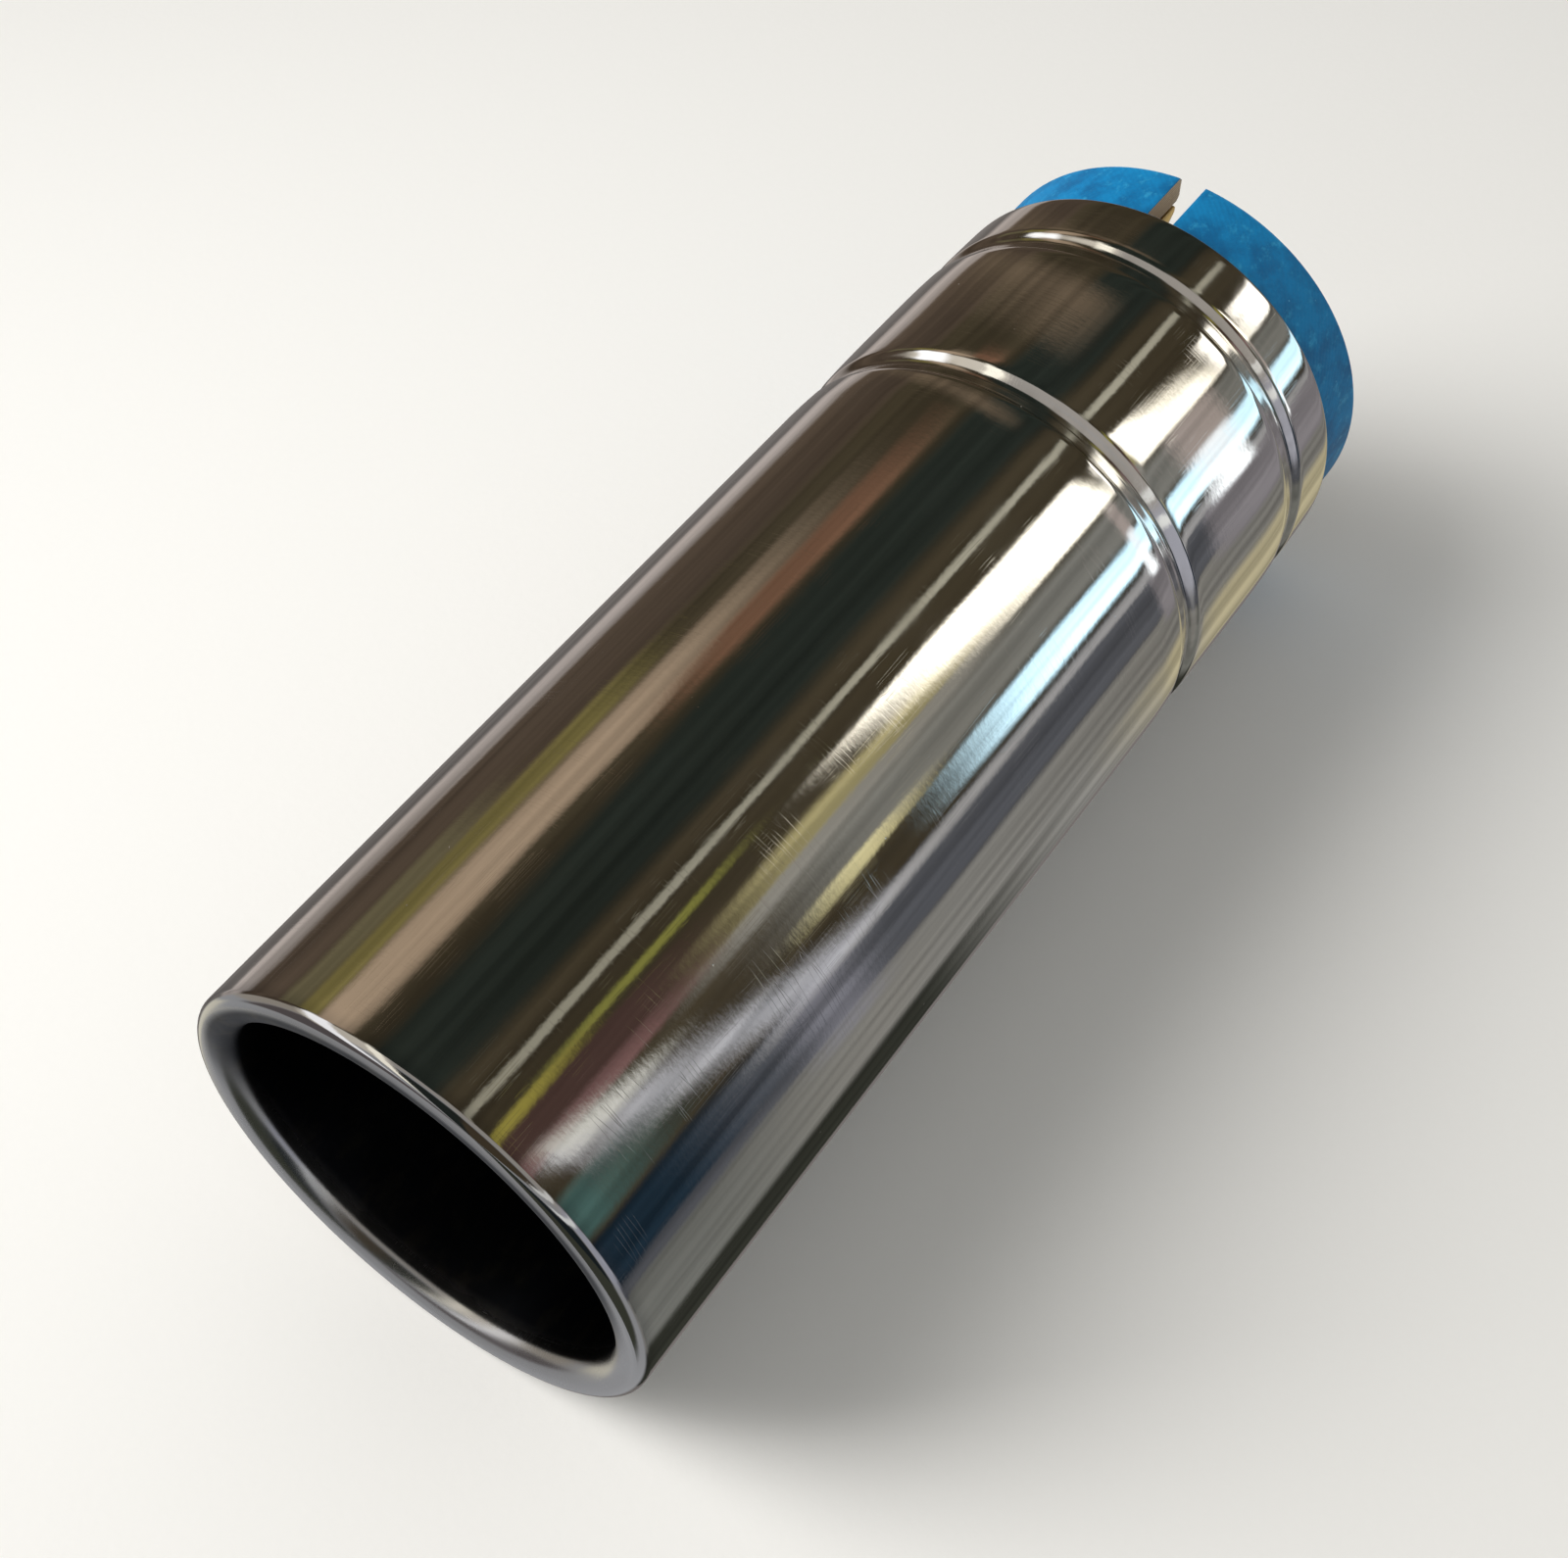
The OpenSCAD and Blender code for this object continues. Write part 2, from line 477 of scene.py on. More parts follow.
@dataclass(frozen=True)
class TurnedBrass:
    """Turned brass with fine tool rings, a little tarnished."""

    bright: Colour = (0.74, 0.53, 0.22)
    tarnish: Colour = (0.34, 0.21, 0.085)
    spot: Colour = (0.16, 0.10, 0.05)

    def build(self) -> bpy.types.Material:
        """Makes the material.

        Returns:
            The material.
        """
        surface = Surface("turned_brass")
        rings = surface.noise(0.06, 9.0, 2.0, 41.0)
        facing = surface.noise(0.9, 0.9, 2.0, 42.0)
        stain = surface.noise(0.35, 0.35, 4.0, 43.0, 0.6).rise(0.44, 0.7)
        spots = surface.specks(1.4, 0.2, 0.1, 44.0)
        toned = surface.blend(stain * 0.75, self.bright, self.tarnish)
        return surface.finished(
            Base_Color=surface.blend(spots * 0.5, toned, self.spot),
            Metallic=1.0,
            Roughness=0.20 + rings * 0.12 + stain * 0.16 + facing * 0.05,
            Normal=surface.relief(rings * 0.0035 + facing * 0.001 - spots * 0.003),
        )


@dataclass(frozen=True)
class DrawnWire:
    """Drawn spring steel, with die lines and a light oil stain."""

    steel: Colour = (0.40, 0.40, 0.41)
    stain: Colour = (0.20, 0.17, 0.15)

    def build(self) -> bpy.types.Material:
        """Makes the material.

        Returns:
            The material.
        """
        surface = Surface("drawn_wire")
        lines = surface.noise(0.25, 14.0, 2.0, 51.0)
        oil = surface.noise(0.5, 0.5, 3.0, 52.0).rise(0.45, 0.7)
        return surface.finished(
            Base_Color=surface.blend(oil * 0.6, self.steel, self.stain),
            Metallic=1.0,
            Roughness=0.24 + lines * 0.12 + oil * 0.12,
            Normal=surface.relief(lines * 0.002),
        )


@dataclass(frozen=True)
class StudioFloor:
    """Matt pale card."""

    card: Colour = tone(247, 246, 243)
    tooth: Colour = tone(222, 220, 216)

    def build(self) -> bpy.types.Material:
        """Makes the material.

        Returns:
            The material.
        """
        surface = Surface("studio_floor")
        tooth = surface.noise(2.0, 2.0, 2.0, 61.0)
        return surface.finished(
            Base_Color=surface.blend(tooth * 0.06, self.card, self.tooth),
            Roughness=0.85,
            Normal=surface.relief(tooth * 0.01),
        )


# ---- Mesh building ----


def on_circle(radius: float, angle: float, y: float) -> Vector:
    """Gives the point at an angle round the tube axis, counted from +X towards +Z."""
    return Vector((radius * math.cos(angle), y, radius * math.sin(angle)))


def arc(centre: Place, radius: float, start: float, end: float, steps: int) -> list[Place]:
    """Gives points on an arc in the plane of length along the tube and radius.

    Args:
        centre: The arc's centre, as (y, radius).
        radius: The arc's own radius.
        start: The angle of its first point, in degrees from +Y towards larger radius.
        end: The angle of its last point.
        steps: How many stretches it has.

    Returns:
        The points, both ends among them.
    """
    y, middle = centre
    angles = (math.radians(degrees) for degrees in spread(start, end, steps))
    return [(y + radius * math.cos(a), middle + radius * math.sin(a)) for a in angles]


def smooth(share: float) -> float:
    """Eases from 0 to 1 as its share goes from 0 to 1, and stays level outside."""
    held = min(max(share, 0.0), 1.0)
    return held * held * (3 - 2 * held)


def spread(start: float, end: float, steps: int) -> list[float]:
    """Divides a stretch evenly, both ends among the values."""
    return [start + (end - start) * i / steps for i in range(steps + 1)]


class Piece:
    """A mesh being built, then the object that it becomes."""

    SHARP = math.radians(38)
    CORNER = math.radians(60)

    def __init__(self, name: str) -> None:
        """Starts an empty mesh."""
        self.name = name
        self.mesh = bmesh.new()

    def loop(self, points: Iterable[Vector]) -> Row:
        """Adds a row of points."""
        return [self.mesh.verts.new(point) for point in points]

    def face(self, corners: Sequence[bmesh.types.BMVert], skin: Skin = Skin.TURNED) -> None:
        """Adds a face, unless two of its corners are the same."""
        if len(set(corners)) == len(corners):
            self.mesh.faces.new(corners).material_index = skin.value

    def bridge(self, first: Row, second: Row, closed: bool = True,
               skin: Skin = Skin.TURNED) -> None:
        """Joins two rows of points with faces.

        Args:
            first: One row.
            second: The next row, of the same length.
            closed: Whether the last points join the first ones.
            skin: The finish of the faces.
        """
        count = len(first)
        for i in range(count if closed else count - 1):
            j = (i + 1) % count
            self.face((first[i], first[j], second[j], second[i]), skin)

    def turn(self, outline: Sequence[Place], segments: int) -> None:
        """Turns a closed outline round the tube axis.

        Args:
            outline: Its points, as (y, radius).
            segments: How many stretches go round.
        """
        rows = [
            self.loop(on_circle(radius, FULL_TURN * i / segments, y) for i in range(segments))
            for y, radius in outline
        ]
        for i, row in enumerate(rows):
            self.bridge(row, rows[(i + 1) % len(rows)])

    def folds(self, angle: float) -> list[bmesh.types.BMEdge]:
        """Lists the edges that fold by more than an angle."""
        edges = (edge for edge in self.mesh.edges if edge.is_manifold)
        return [edge for edge in edges if edge.calc_face_angle() > angle]

    def finish(self, materials: Sequence[bpy.types.Material], node: str,
               edge: Optional[float] = None) -> bpy.types.Object:
        """Makes the object, eases its corners, dresses it and puts it in the place of its CAD node.

        Args:
            materials: Its finishes, in the order of Skin.
            node: The CAD node that it replaces.
            edge: The width of its broken corners, or none.

        Returns:
            The object.
        """
        bmesh.ops.recalc_face_normals(self.mesh, faces=self.mesh.faces)
        for face in self.mesh.faces:
            face.smooth = True
        if edge:
            bmesh.ops.bevel(
                self.mesh, geom=self.folds(self.CORNER), offset=edge, segments=2,
                profile=0.5, affect="EDGES", clamp_overlap=True,
            )
        sharp = set(self.folds(self.SHARP))
        for line in self.mesh.edges:
            line.smooth = line not in sharp
        data = bpy.data.meshes.new(self.name)
        self.mesh.to_mesh(data)
        self.mesh.free()
        made = bpy.data.objects.new(self.name, data)
        bpy.context.scene.collection.objects.link(made)
        for material in materials:
            data.materials.append(material)
        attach(made, "root")
        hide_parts(node)
        LOG.info("%s: %d faces, replaces %s", self.name, len(data.polygons), node)
        return made


@dataclass(frozen=True)
class SleeveRow:
    """One row across a slotted sleeve: its place, its two radii and half its slots' width."""

    y: float
    outer: float
    inner: float
    half_slot: float = 0.0


@dataclass
class SlottedSleeve:
    """A tube with straight saw slots from its rear end."""

    rows: Sequence[SleeveRow]
    slots: int
    columns: int
    bore_skin: Skin = Skin.TURNED

    def sectors(self, piece: Piece, row: SleeveRow, radius: float) -> list[Row]:
        """Adds the points of one row at one radius.

        Args:
            piece: The mesh.
            row: The row.
            radius: Its outer or inner radius.

        Returns:
            For each sector between two slots, its points from one slot to the next.
        """
        lean = math.asin(row.half_slot / radius)
        pitch = FULL_TURN / self.slots
        made = []
        for i in range(self.slots):
            start = TOP + i * pitch + lean
            end = TOP + (i + 1) * pitch - lean
            steps = self.columns if row.half_slot else self.columns - 1
            angles = spread(start, end, self.columns)[: steps + 1]
            made.append(piece.loop(on_circle(radius, angle, row.y) for angle in angles))
        if not row.half_slot:
            for i, points in enumerate(made):
                points.append(made[(i + 1) % self.slots][0])
        return made

    def build(self, piece: Piece) -> None:
        """Adds the skins, the slots' walls and both end faces.

        Args:
            piece: The mesh.
        """
        outer = [self.sectors(piece, row, row.outer) for row in self.rows]
        inner = [self.sectors(piece, row, row.inner) for row in self.rows]
        for i, row in enumerate(self.rows[1:]):
            for s in range(self.slots):
                front, rear = outer[i][s], outer[i + 1][s]
                bore_front, bore_rear = inner[i][s], inner[i + 1][s]
                piece.bridge(front, rear, closed=False)
                piece.bridge(bore_front, bore_rear, closed=False, skin=self.bore_skin)
                if row.half_slot:
                    for end in (0, -1):
                        wall = (front[end], rear[end], bore_rear[end], bore_front[end])
                        piece.face(wall, Skin.CUT)
        for end in (0, -1):
            for s in range(self.slots):
                piece.bridge(outer[end][s], inner[end][s], closed=False, skin=Skin.CUT)


def slot_rows(skin: Callable[[float], Place], stops: Sequence[float], root_y: float,
              half: float) -> list[SleeveRow]:
    """Lays out the rows of a slotted sleeve, with a round end to its slots.

    Args:
        skin: Gives the outer and inner radius at a place along the tube.
        stops: Places along the tube that need a row.
        root_y: Where the slots end.
        half: Half the slots' width.

    Returns:
        The rows from front to rear.
    """
    round_end = [root_y + half * (1 - math.cos(angle)) for angle in spread(0.0, TOP, 6)]
    rows = []
    for y in sorted({*stops, *round_end}):
        reach = min(max(y - root_y, 0.0), half)
        rows.append(SleeveRow(y, *skin(y), math.sqrt(half**2 - (half - reach) ** 2)))
    return rows


# ---- Sub-assemblies ----


@dataclass
class Layout:
    """The sizes that the pieces share, read from the frame."""

    lip_y: float
    rim_y: float
    outer_radius: float
    bore_radius: float
    neck_radius: float
    rear_groove_inset: float = 4.45 * MM
    groove_pitch: float = 11.9 * MM
    seat_length: float = 22 * MM
    seat_wall: float = 0.7 * MM
    slot_width: float = 1.6 * MM

    @classmethod
    def from_frame(cls, record: dict) -> "Layout":
        """Reads the sizes from the frame's boxes and the record's mounts.

        Args:
            record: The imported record.

        Returns:
            The shared sizes.
        """
        radii = {mount["name"]: mount["dims"]["r_mm"] * MM for mount in record["mounts"]}
        low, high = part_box("nozzle_shell")
        return cls(
            lip_y=low.y,
            rim_y=high.y,
            outer_radius=(high.z - low.z) / 2,
            bore_radius=radii["gas_outlet"],
            neck_radius=radii["neck_bore"],
        )

    @property
    def groove_ys(self) -> tuple[float, float]:
        """Where the two rolled grooves are, front one first."""
        rear = self.rim_y - self.rear_groove_inset
        return rear - self.groove_pitch, rear

    @property
    def seat_y(self) -> float:
        """Where the seat of the insulating sleeve starts."""
        return self.rim_y - self.seat_length

    @property
    def seat_radius(self) -> float:
        """The radius of that seat."""
        return self.outer_radius - self.seat_wall


@dataclass
class PlatedShell:
    """The drawn tube: rounded lip, long front land, two rolled grooves and a thin rear rim."""

    layout: Layout
    segments: int = 288
    groove_half: float = 1.0 * MM
    groove_depth: float = 0.30 * MM
    front_wall_share: float = 0.22
    rear_wall_share: float = 0.42
    bead_height: float = 0.33 * MM
    shoulder_length: float = 2.6 * MM
    shoulder_drop: float = 0.10 * MM
    crown: float = 0.12 * MM
    rear_taper: float = 0.20 * MM
    chamfer: float = 0.15 * MM
    lip_edge: float = 0.6 * MM
    arc_steps: int = 16
    groove_steps: int = 28

    def dip(self, y: float) -> float:
        """Gives the grooves' depth at a place, as a share of their full depth.

        Args:
            y: The place.

        Returns:
            1 over a groove's floor, easing to 0 up its short front wall and longer rear wall.
        """
        nearest = min(self.layout.groove_ys, key=lambda groove: abs(y - groove))
        share = (y - nearest) / (2 * self.groove_half) + 0.5
        return smooth(share / self.front_wall_share) * smooth((1 - share) / self.rear_wall_share)

    def outer(self, y: float) -> float:
        """Works out the outer radius at a place along the tube.

        Args:
            y: The place.

        Returns:
            The radius, with the lands' crown and taper and the grooves.
        """
        front, rear = self.layout.groove_ys
        if y < front:
            share = max(0.0, 1 - (front - self.groove_half / 2 - y) / self.shoulder_length)
            drop = self.shoulder_drop * min(share, 1.0) ** 2
        elif y < rear:
            middle = (front + rear) / 2
            drop = self.crown * ((y - middle) / (middle - front)) ** 4
        else:
            share = (y - rear) / (self.layout.rim_y - rear)
            drop = self.crown + (self.rear_taper - self.crown) * share**2
        return self.layout.outer_radius - drop - self.groove_depth * self.dip(y)

    def outline(self) -> list[Place]:
        """Draws the wall's outline, from the lip along the outside and back along the inside.

        Returns:
            Its points, as (y, radius).
        """
        layout = self.layout
        lip = (layout.outer_radius - layout.bore_radius) / 2
        rim = (self.outer(layout.rim_y) - layout.seat_radius) / 2
        lip_centre = (layout.lip_y + lip, layout.bore_radius + lip)
        edge_centre = (layout.lip_y + self.lip_edge, layout.outer_radius - self.lip_edge)
        rim_centre = (layout.rim_y - rim, layout.seat_radius + rim)
        half = self.groove_half
        front, rear = layout.groove_ys
        shoulder_y = front - self.shoulder_length - half
        stops = [
            *spread(edge_centre[0], shoulder_y, 24)[1:],
            *spread(shoulder_y, front - half, 12)[1:],
            *spread(front - half, front + half, self.groove_steps)[1:],
            *spread(front + half, rear - half, 26)[1:],
            *spread(rear - half, rear + half, self.groove_steps)[1:],
            *spread(rear + half, rim_centre[0], 12)[1:-1],
        ]
        inner_stops = [y for y in reversed(stops) if y > layout.seat_y + self.chamfer]
        bead = [(y, layout.seat_radius - self.bead_height * self.dip(y)) for y in inner_stops]
        bore_stops = spread(layout.seat_y - self.chamfer, lip_centre[0], 20)[:-1]
        return [
            *arc(lip_centre, lip, 270, 180, self.arc_steps),
            *arc(edge_centre, self.lip_edge, 180, 90, self.arc_steps),
            *((y, self.outer(y)) for y in stops),
            *arc(rim_centre, rim, 90, -90, 12),
            *bead,
            (layout.seat_y + self.chamfer, layout.seat_radius),
            (layout.seat_y, layout.seat_radius - self.chamfer),
            (layout.seat_y, layout.bore_radius + self.chamfer),
            *((y, layout.bore_radius) for y in bore_stops),
        ]

    def build(self) -> bpy.types.Object:
        """Builds and dresses the shell.

        Returns:
            The shell's object.
        """
        layout = self.layout
        plating = BrightPlating(layout.bore_radius, layout.lip_y, layout.groove_ys, layout.rim_y)
        piece = Piece("plated_shell")
        piece.turn(self.outline(), self.segments)
        return piece.finish([plating.build()], "nozzle_shell")


@dataclass
class BlueSleeve:
    """The insulating sleeve, with two saw slots and grooves that take the shell's beads."""

    layout: Layout
    laminate: bpy.types.Material
    gap: float = 0.03 * MM
    wall: float = 1.57 * MM
    chamfer: float = 0.25 * MM
    recess_depth: float = 1.25 * MM
    recess_radius: float = 11.53 * MM
    slot_length: float = 17 * MM
    groove_half: float = 1.0 * MM
    groove_depth: float = 0.36 * MM
    overlap: float = 1.0 * MM
    broken_edge: float = 0.06 * MM
    columns: int = 132

    def skin(self, y: float) -> Place:
        """Works out the sleeve's two radii at a place along the tube.

        Args:
            y: The place.

        Returns:
            The outer and the inner radius.
        """
        front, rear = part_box("insulating_sleeve")
        outer = self.layout.seat_radius - self.gap
        inner = outer - self.wall
        nearest = min(abs(y - groove) for groove in self.layout.groove_ys) / self.groove_half
        dent = self.groove_depth * (1 - nearest**2) ** 2 if nearest < 1 else 0.0
        front_ease = max(0.0, self.chamfer - (y - front.y))
        rear_ease = max(0.0, self.chamfer - (rear.y - y))
        if y < front.y + self.recess_depth:
            inner = self.recess_radius
        return outer - dent - front_ease - rear_ease, inner + rear_ease

    def build(self) -> bpy.types.Object:
        """Builds and dresses the sleeve.

        Returns:
            The sleeve's object.
        """
        low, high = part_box("insulating_sleeve")
        step = low.y + self.recess_depth
        grooves = [
            y + self.groove_half * share
            for y in self.layout.groove_ys
            for share in spread(-1.0, 1.0, 12)
        ]
        stops = [
            low.y,
            low.y + self.chamfer,
            step - SQUARE_RUN,
            step,
            *grooves,
            *spread(self.layout.rim_y - self.overlap, high.y - self.chamfer, 12),
            high.y,
        ]
        half_slot = self.layout.slot_width / 2
        rows = slot_rows(self.skin, stops, high.y - self.slot_length, half_slot)
        piece = Piece("blue_sleeve")
        SlottedSleeve(rows, 2, self.columns, Skin.CUT).build(piece)
        finishes = [BlueLacquer(high.y).build(), self.laminate]
        return piece.finish(finishes, "insulating_sleeve", self.broken_edge)


@dataclass
class FrontWasher:
    """The bare laminate ring between the shell's shoulder and the brass flange."""

    laminate: bpy.types.Material
    bore: float = 9.8 * MM
    edge: float = 0.12 * MM
    segments: int = 192

    def build(self) -> bpy.types.Object:
        """Builds and dresses the washer.

        Returns:
            The washer's object.
        """
        low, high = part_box("insulating_washer")
        outer = high.z
        ease = self.edge
        outline = [
            *arc((low.y + ease, outer - ease), ease, 180, 90, 4),
            *arc((high.y - ease, outer - ease), ease, 90, 0, 4),
            *arc((high.y - ease, self.bore + ease), ease, 0, -90, 4),
            *arc((low.y + ease, self.bore + ease), ease, 270, 180, 4),
        ]
        piece = Piece("front_washer")
        piece.turn(outline, self.segments)
        return piece.finish([self.laminate], "insulating_washer")


@dataclass
class BrassClamp:
    """The clamping sleeve: a flange in front and four sprung fingers behind."""

    layout: Layout
    flange_radius: float = 11.5 * MM
    flange_length: float = 1.2 * MM
    body_radius: float = 10.67 * MM
    root_radius: float = 10.0 * MM
    finger_radius: float = 10.2 * MM
    head_radius: float = 10.45 * MM
    head_length: float = 2.2 * MM
    groove_floor: float = 9.95 * MM
    groove_width: float = 1.0 * MM
    slot_length: float = 15.5 * MM
    root_length: float = 4 * MM
    root_taper: float = 0.5 * MM
    finger_taper: float = 0.3 * MM
    lead_in: float = 0.6 * MM
    lead_slope: float = 0.85
    ease: float = 0.12 * MM
    broken_edge: float = 0.05 * MM
    columns: int = 64

    def stations(self) -> list[Place]:
        """Lists where the outer radius changes.

        Returns:
            The places from front to rear, as (y, radius).
        """
        low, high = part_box("clamping_sleeve")
        ring_low, ring_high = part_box("spring_ring")
        ring_y = (ring_low.y + ring_high.y) / 2
        half = self.groove_width / 2
        flange_end = low.y + self.flange_length
        root = high.y - self.slot_length
        ease = self.ease
        return [
            (low.y, self.flange_radius - ease),
            (low.y + ease, self.flange_radius),
            (flange_end - ease, self.flange_radius),
            (flange_end, self.flange_radius - ease),
            (flange_end + SQUARE_RUN, self.body_radius),
            (root - self.root_taper, self.body_radius),
            (root, self.root_radius),
            (root + self.root_length, self.root_radius),
            (root + self.root_length + self.finger_taper, self.finger_radius),
            (ring_y - half - ease / 2, self.finger_radius),
            (ring_y - half, self.groove_floor),
            (ring_y + half, self.groove_floor),
            (ring_y + half + ease / 2, self.finger_radius),
            (high.y - self.head_length, self.finger_radius),
            (high.y - self.head_length + self.finger_taper, self.head_radius),
            (high.y - ease, self.head_radius),
            (high.y, self.head_radius - ease),
        ]

    def skin(self, y: float) -> Place:
        """Works out the sleeve's two radii at a place along the tube.

        Args:
            y: The place.

        Returns:
            The outer and the inner radius.
        """
        stations = self.stations()
        outer = stations[-1][1]
        for (start, first), (end, second) in zip(stations, stations[1:]):
            if start <= y <= end:
                outer = first + (second - first) * (y - start) / (end - start)
                break
        lead = max(0.0, self.lead_in - (stations[-1][0] - y))
        return outer, self.layout.neck_radius + lead * self.lead_slope

    def build(self) -> bpy.types.Object:
        """Builds and dresses the sleeve.

        Returns:
            The sleeve's object.
        """
        stations = self.stations()
        rear = stations[-1][0]
        stops = [*(y for y, _ in stations), rear - self.lead_in]
        half_slot = self.layout.slot_width / 2
        rows = slot_rows(self.skin, stops, rear - self.slot_length, half_slot)
        brass = TurnedBrass().build()
        piece = Piece("brass_clamp")
        SlottedSleeve(rows, 4, self.columns).build(piece)
        return piece.finish([brass, brass], "clamping_sleeve", self.broken_edge)


@dataclass
class GripRing:
    """The open wire ring that presses the fingers on to the neck."""

    gap_centre: float = math.radians(-45)
    gap: float = math.radians(28)
    steps: int = 200
    sides: int = 20
    cap_rows: int = 5

    def build(self) -> bpy.types.Object:
        """Builds and dresses the ring.

        Returns:
            The ring's object.
        """
        low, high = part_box("spring_ring")
        wire = (high.y - low.y) / 2
        middle = (high.y + low.y) / 2
        centre_radius = (high.z - low.z) / 2 - wire
        start = self.gap_centre + self.gap / 2
        end = start + FULL_TURN - self.gap
        tilts = spread(0.0, TOP, self.cap_rows)[:-1]
        cap = [(wire * math.sin(tilt) / centre_radius, wire * math.cos(tilt)) for tilt in tilts]
        stations = [
            *((start - reach, size) for reach, size in reversed(cap)),
            *((angle, wire) for angle in spread(start, end, self.steps)[1:-1]),
            *((end + reach, size) for reach, size in cap),
        ]
        sides = [(math.cos(a), math.sin(a)) for a in spread(0.0, FULL_TURN, self.sides)[:-1]]
        piece = Piece("grip_ring")
        rows = [
            piece.loop(
                on_circle(centre_radius + size * out, angle, middle + size * along)
                for out, along in sides
            )
            for angle, size in stations
        ]
        for first, second in zip(rows, rows[1:]):
            piece.bridge(first, second)
        for row in (rows[0], rows[-1]):
            piece.face(row)
        return piece.finish([DrawnWire().build()], "spring_ring")


# ---- Studio ----


@dataclass(frozen=True)
class SoftPanel:
    """A soft panel of light or a tinted screen that hangs round the tube.

    Its place is given as the tube sees it: the angle round the axis from +X towards +Z, in
    degrees, and how far the direction leans towards +Y, from 0 beside the tube to 1 behind it.
    """

    angle: float
    half_angle: float
    low: float
    high: float
    shade: Colour
    feather: float
    fade: float = 0.03
    gain: float = 1.0
    slope: float = 0.0


# A lean past either end of the dome, which runs from -1 in front of the tube to 1 behind it
END = 1.2

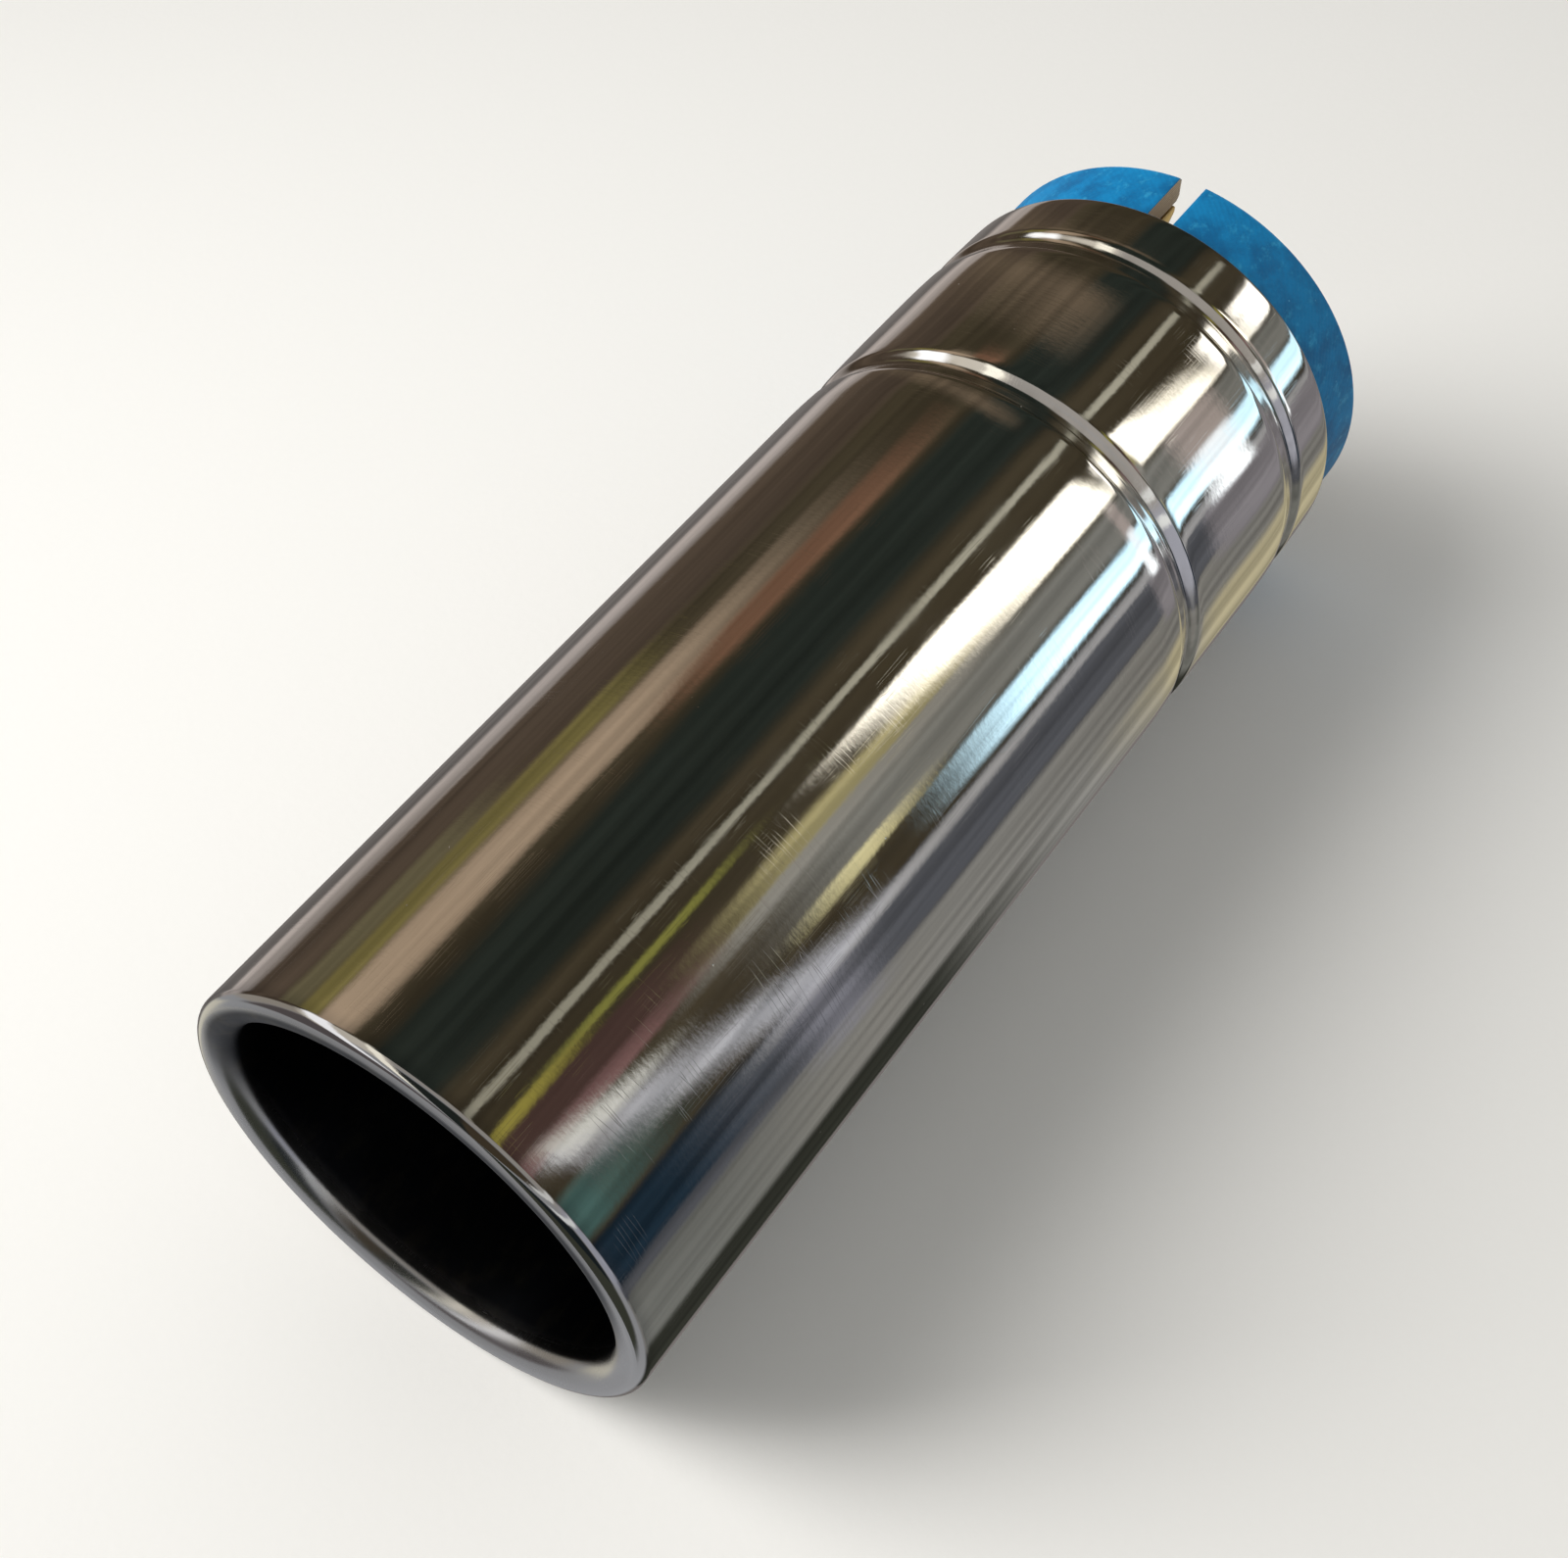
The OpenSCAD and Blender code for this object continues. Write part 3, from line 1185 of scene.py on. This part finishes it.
# The panels, the ones behind first. Each has its angle, half angle, low end, high end, shade and
# feather, and then its fade if that isn't the usual one.
PANELS = (
    SoftPanel(-60, 31, -END, END, tone(116, 115, 112), 3),
    SoftPanel(-50, 22, 0.1, 0.40, tone(96, 97, 94), 6, 0.06),
    SoftPanel(231, 40, -END, END, tone(94, 90, 88), 4),
    SoftPanel(199, 7, -END, END, tone(150, 142, 138), 4),
    SoftPanel(-14, 12, -END, END, tone(76, 78, 84), 4),
    SoftPanel(-3.5, 1.5, 0.42, 0.9, tone(134, 134, 136), 2.5),
    SoftPanel(-82, 15, -END, 0.52, tone(40, 41, 36), 9, 0.06),
    SoftPanel(-78, 20, 0.61, END, tone(148, 141, 116), 10, 0.04),
    SoftPanel(-9, 10, 0.24, 0.39, tone(24, 38, 50), 4, 0.05),
    SoftPanel(90, 200, -END, -0.06, tone(143, 144, 147), 9, 0.1),
    SoftPanel(-50, 48, -END, -0.42, tone(56, 58, 50), 12, 0.08),
    SoftPanel(-5, 15, -END, -0.42, tone(26, 32, 35), 6, 0.08),
    SoftPanel(56, 22, -END, -0.42, tone(64, 56, 44), 8, 0.08),
    SoftPanel(94, 17, -END, -0.42, tone(32, 37, 35), 5, 0.08),
    SoftPanel(176, 25, -END, -0.42, tone(84, 79, 80), 9, 0.08),
    SoftPanel(225, 9, -0.3, -0.04, tone(188, 184, 170), 9, 0.08),
    SoftPanel(56, 56, -0.34, 0.07, tone(146, 142, 138), 8, 0.06),
    SoftPanel(2, 16, -0.34, 0.2, tone(152, 154, 166), 10, 0.06),
    SoftPanel(172, 20, -0.42, 0.02, tone(146, 140, 132), 9, 0.08),
    SoftPanel(133, 21, -0.62, 0.02, tone(194, 188, 178), 6, 0.08),
    SoftPanel(16.5, 1.3, -0.7, 0.12, tone(214, 217, 218), 2.5, 0.1),
    SoftPanel(30, 1.6, -0.7, 0.12, tone(206, 207, 206), 2.5, 0.1),
    SoftPanel(116.5, 3.0, -0.9, 0.12, (1.0, 0.96, 0.84), 3, 0.1),
    SoftPanel(146, 4.5, -0.9, 0.12, (0.95, 0.96, 1.0), 5, 0.1, gain=1.1),
    SoftPanel(176, 13, -0.02, 1.0, tone(70, 60, 51), 7, 0.05),
    SoftPanel(154, 3.2, 0.2, 0.49, tone(104, 96, 58), 5),
    SoftPanel(165, 3.0, 0.2, 0.41, tone(92, 86, 66), 5),
    SoftPanel(139, 6, 0.1, 0.55, tone(143, 126, 108), 5, 0.08),
    SoftPanel(129, 3, 0.5, 0.62, tone(100, 74, 58), 6),
    SoftPanel(102, 12, 0.0, 1.0, tone(33, 38, 34), 8),
    SoftPanel(143, 30, 0.676, 0.71, tone(92, 80, 66), 22, 0.02),
    SoftPanel(73.5, 0.9, 0.1, 0.78, tone(160, 157, 142), 1.6),
    SoftPanel(62, 1.1, 0.36, 0.46, tone(112, 112, 56), 2.0),
    SoftPanel(58.5, 2.0, 0.1, 0.36, tone(134, 126, 60), 2.4),
    SoftPanel(51, 4.0, 0.1, 0.42, tone(66, 50, 46), 3.0),
    SoftPanel(45, 3.0, 0.45, 0.60, tone(150, 142, 104), 4.0, 0.05),
    SoftPanel(38.5, 2.2, 0.43, 0.60, tone(132, 130, 124), 3.0, 0.04),
    SoftPanel(42.5, 2.0, 0.1, 0.41, tone(110, 83, 82), 3.0, 0.04),
    SoftPanel(27, 6, 0.47, 0.9, tone(112, 112, 108), 5, 0.05),
    SoftPanel(27, 9, 0.668, 0.705, tone(156, 146, 142), 5, 0.01),
    SoftPanel(-20, 12, 0.655, 0.9, tone(118, 115, 120), 5, 0.012),
    SoftPanel(48.5, 9, 0.572, 0.69, (1.0, 0.95, 0.82), 3, 0.04, gain=1.9, slope=-0.004),
    SoftPanel(47, 8, 0.735, 0.84, (1.0, 0.96, 0.88), 3, 0.02, gain=1.6),
    SoftPanel(10, 4.5, 0.563, 0.9, (0.56, 0.83, 1.0), 4, 0.045, gain=1.7),
    SoftPanel(6, 11, 0.674, 0.70, (0.88, 0.94, 1.0), 5, 0.01, gain=1.3),
    SoftPanel(19, 1.6, 0.475, 0.52, tone(216, 208, 160), 2.5),
    SoftPanel(15, 7, 0.24, 0.35, tone(62, 88, 86), 5, 0.05),
    SoftPanel(-16, 17, 0.435, 0.455, tone(124, 124, 134), 5, 0.025),
    SoftPanel(18, 19, 0.372, 0.41, tone(172, 174, 182), 6, 0.03, slope=-0.0036),
    SoftPanel(37, 5, 0.325, 0.356, tone(194, 195, 190), 6, 0.03, slope=-0.0036),
)


@dataclass
class Studio:
    """The floor, the lights and the camera."""

    floor_reach: float = 3.0
    azimuth: float = 34.86
    elevation: float = 52.47
    distance: float = 118.63 * MM
    aim_offset: tuple[float, float, float] = (-1.05 * MM, -4.0 * MM, -2.05 * MM)
    lens: float = 51.84
    fill: Colour = tone(168, 168, 166)
    gloss: float = 0.57
    dim: Colour = tone(56, 50, 38)
    wander: float = 7.0
    unevenness: float = 0.35
    key_offset: tuple[float, float, float] = (-0.22, -0.16, 0.20)
    key_size: Place = (0.36, 0.20)
    key_watts: float = 0.40
    key_shade: Colour = (1.0, 0.985, 0.965)
    key_spread: float = math.radians(80)

    def hang_dome(self) -> None:
        """Makes the world: an even pale fill, and the dome of panels that polished metal shows."""
        world = bpy.data.worlds.new("studio")
        bpy.context.scene.world = world
        world.use_nodes = True
        graph = Graph(world.node_tree)
        where = graph.node("ShaderNodeTexCoord", {}, {}).outputs["Generated"]
        x, lean, z = graph.split(where)
        turn = x.maths("ARCTAN2", z, x) * math.degrees(1)
        turn = turn + turn.maths("LESS_THAN", turn, -90.0) * 360
        angle = turn + (self.cloud(graph, turn * 0.05, lean * 5.0, 1.0) - 0.5) * self.wander
        streaks = self.cloud(graph, turn * 0.13, lean * 2.0, 2.0).rise(0.2, 0.8) * 2 - 1
        dome = graph.scaled(self.dim, 1 / self.gloss)
        for panel in PANELS:
            offset = angle - panel.angle
            across = abs(offset).rise(panel.half_angle + panel.feather, panel.half_angle)
            height = lean - offset * panel.slope
            up = height.rise(panel.low - panel.fade, panel.low + panel.fade)
            down = height.rise(panel.high + panel.fade, panel.high - panel.fade)
            shade = tuple(channel * panel.gain / self.gloss for channel in panel.shade)
            dome = graph.blend(across * up * down, dome, shade)
        uneven = streaks * lean.rise(-0.1, 0.2) * self.unevenness
        mirrored = graph.node("ShaderNodeLightPath", {}, {}).outputs["Is Glossy Ray"]
        seen = graph.blend(mirrored, self.fill, graph.scaled(dome, uneven + 1))
        background = graph.node("ShaderNodeBackground", {}, {0: seen, 1: 1.0})
        graph.node("ShaderNodeOutputWorld", {}, {0: background.outputs[0]})
        LOG.info("world: %d soft panels", len(PANELS))

    @staticmethod
    def cloud(graph: Graph, *place: Operand) -> Value:
        """Gives a soft random pattern at a place on the dome, from 0 to 1."""
        where = graph.node("ShaderNodeCombineXYZ", {}, dict(enumerate(place))).outputs[0]
        return graph.value("ShaderNodeTexNoise", {}, {"Vector": where, "Scale": 1.0})

    def hang_softbox(self, centre: Vector) -> None:
        """Hangs the key softbox.

        Args:
            centre: The middle of the nozzle's box, which it faces.
        """
        light = bpy.data.lights.new("key_softbox", "AREA")
        light.shape = "RECTANGLE"
        light.size_y, light.size = self.key_size
        light.energy = self.key_watts
        light.color = self.key_shade
        light.spread = self.key_spread
        offset = Vector(self.key_offset)
        lamp = bpy.data.objects.new("key_softbox", light)
        lamp.location = centre + offset
        lamp.rotation_euler = (-offset).to_track_quat("-Z", "Y").to_euler()
        lamp.visible_glossy = False
        bpy.context.scene.collection.objects.link(lamp)
        LOG.info("key softbox: %.2f m by %.2f m, %.1f W", *self.key_size, self.key_watts)

    def lay_floor(self, height: float) -> None:
        """Lays the pale floor.

        Args:
            height: Its height, where the nozzle lies.
        """
        mesh = bmesh.new()
        bmesh.ops.create_grid(mesh, x_segments=8, y_segments=8, size=self.floor_reach)
        bmesh.ops.translate(mesh, verts=mesh.verts, vec=(0, 0, height))
        data = bpy.data.meshes.new("studio_floor")
        mesh.to_mesh(data)
        mesh.free()
        data.materials.append(StudioFloor().build())
        floor = bpy.data.objects.new("studio_floor", data)
        bpy.context.scene.collection.objects.link(floor)
        floor.visible_glossy = False
        floor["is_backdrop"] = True
        LOG.info("floor: %.1f m square", 2 * self.floor_reach)

    def set_camera(self, centre: Vector) -> None:
        """Sets the camera that looks at the nozzle from in front and above.

        Args:
            centre: The middle of the nozzle's box.
        """
        turn = math.radians(self.azimuth)
        tilt = math.radians(self.elevation)
        level = math.cos(tilt)
        back = Vector((math.sin(turn) * level, -math.cos(turn) * level, math.sin(tilt)))
        aim = centre + Vector(self.aim_offset)
        data = bpy.data.cameras.new("camera")
        data.lens = self.lens
        data.clip_start = 1 * MM
        camera = bpy.data.objects.new("camera", data)
        camera.location = aim + back * self.distance
        camera.rotation_euler = (-back).to_track_quat("-Z", "Y").to_euler()
        bpy.context.scene.collection.objects.link(camera)
        bpy.context.scene.camera = camera
        LOG.info("camera: %.1f mm lens, %.0f mm away", self.lens, self.distance / MM)

    def build(self, low: Vector, high: Vector) -> None:
        """Sets the studio up round the nozzle.

        Args:
            low: The lowest corner of the nozzle's box.
            high: Its highest corner.
        """
        centre = (low + high) / 2
        self.hang_dome()
        self.lay_floor(low.z)
        self.hang_softbox(centre)
        self.set_camera(centre)
        bpy.context.scene.view_settings.view_transform = "Standard"


def main() -> None:
    """Builds the nozzle's pieces in order, then the studio."""
    logging.basicConfig(level=logging.INFO, format="%(name)s %(message)s")
    cad_low, cad_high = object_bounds()
    layout = Layout.from_frame(frame["record"])
    laminate = CutLaminate().build()
    PlatedShell(layout).build()
    BlueSleeve(layout, laminate).build()
    FrontWasher(laminate).build()
    BrassClamp(layout).build()
    GripRing().build()
    Studio().build(cad_low, cad_high)


if __name__ == "__main__":
    main()
